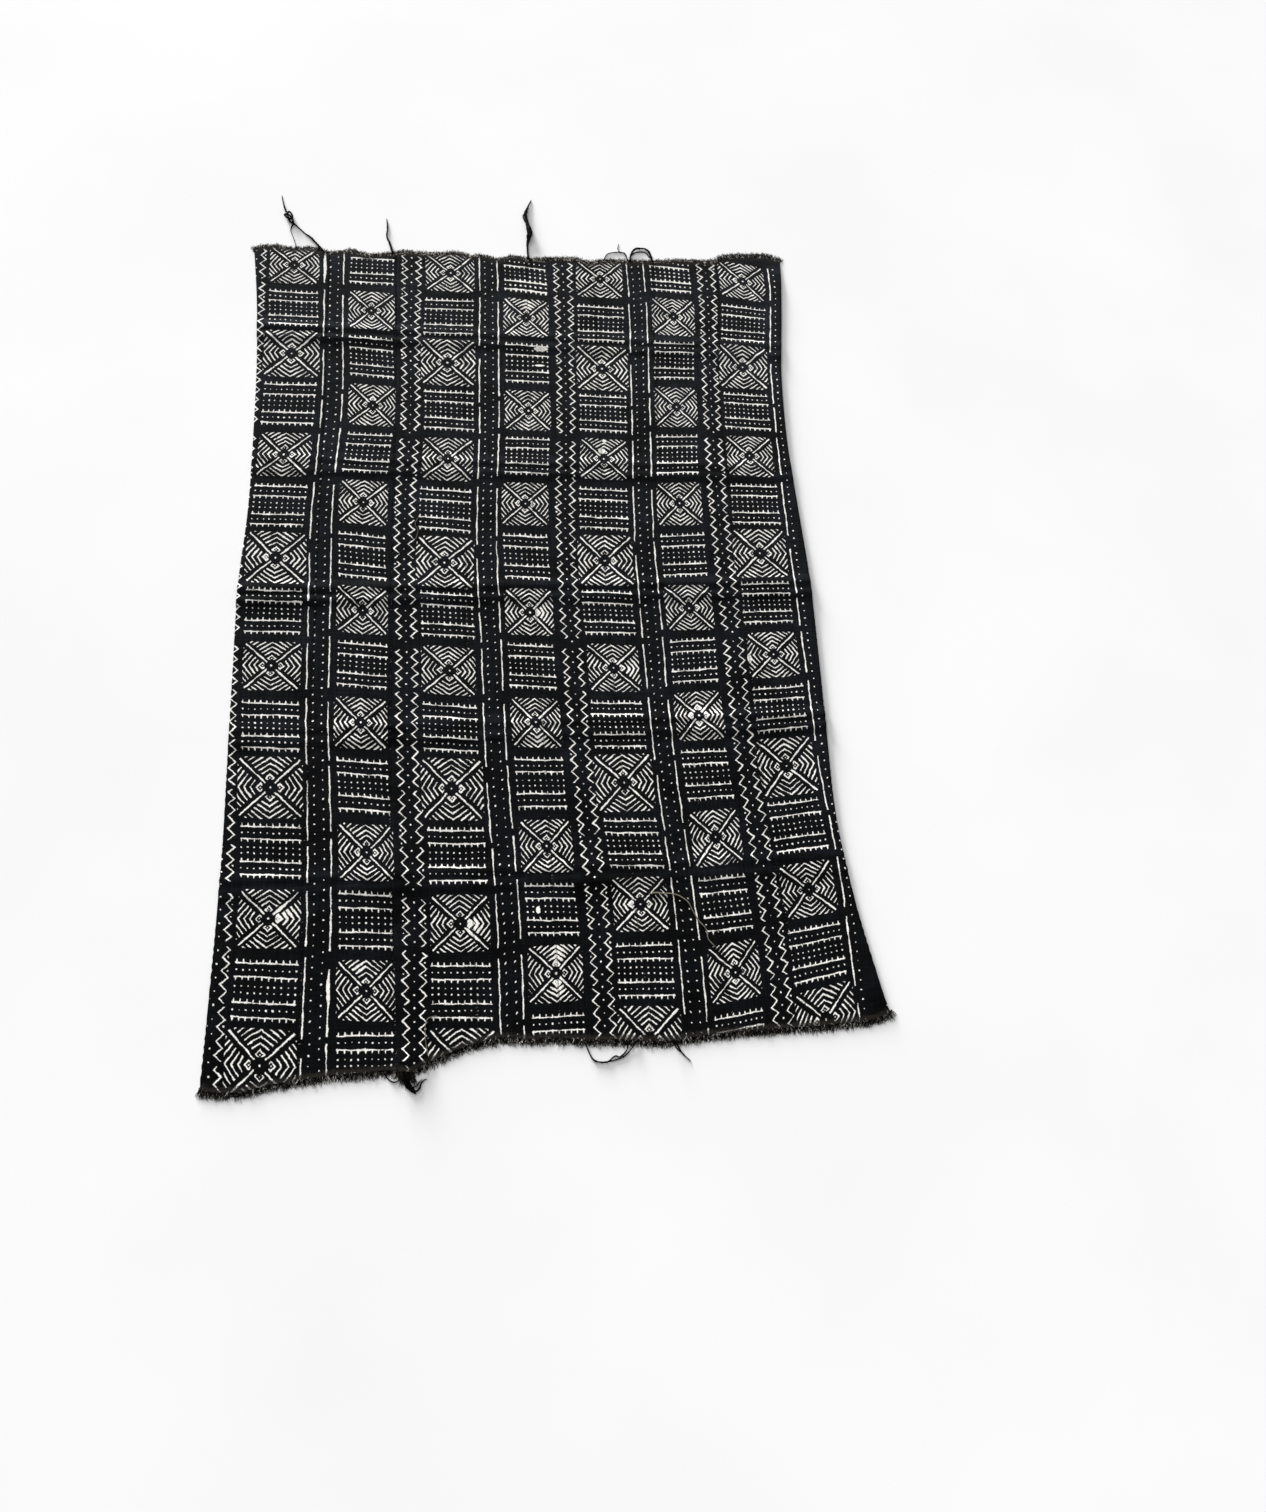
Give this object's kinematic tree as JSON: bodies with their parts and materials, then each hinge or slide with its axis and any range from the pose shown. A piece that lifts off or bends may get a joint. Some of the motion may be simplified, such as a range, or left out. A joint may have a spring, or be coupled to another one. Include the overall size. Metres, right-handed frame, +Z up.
{
  "type": "mud cloth",
  "caption": "Flat handwoven cotton cloth of narrow strips sewn edge to edge, black with cream cross and dot motifs, frayed cut ends and loose knotted threads.",
  "frame": {"origin": "middle of the bounding box on the floor, under the flat cloth", "axes": "+X across the strips to the right, +Y along them towards the end with the knotted threads, +Z up from the floor"},
  "size_m": [1.1261, 1.8241, 0.0095],
  "materials": {
    "dyed_cotton": "matt handspun plain weave, dyed near black with undyed cream motifs",
    "frayed_cotton": "matt loose fibre ends, brown black"
  },
  "bodies": {
    "root": {"strip_1": "dyed_cotton", "strip_2": "dyed_cotton", "strip_3": "dyed_cotton", "strip_4": "dyed_cotton", "strip_5": "dyed_cotton", "strip_6": "dyed_cotton", "strip_7": "dyed_cotton", "strip_8": "dyed_cotton", "fray_top": "frayed_cotton", "fray_top_right": "frayed_cotton", "fray_bottom": "frayed_cotton"}
  },
  "joints": []
}
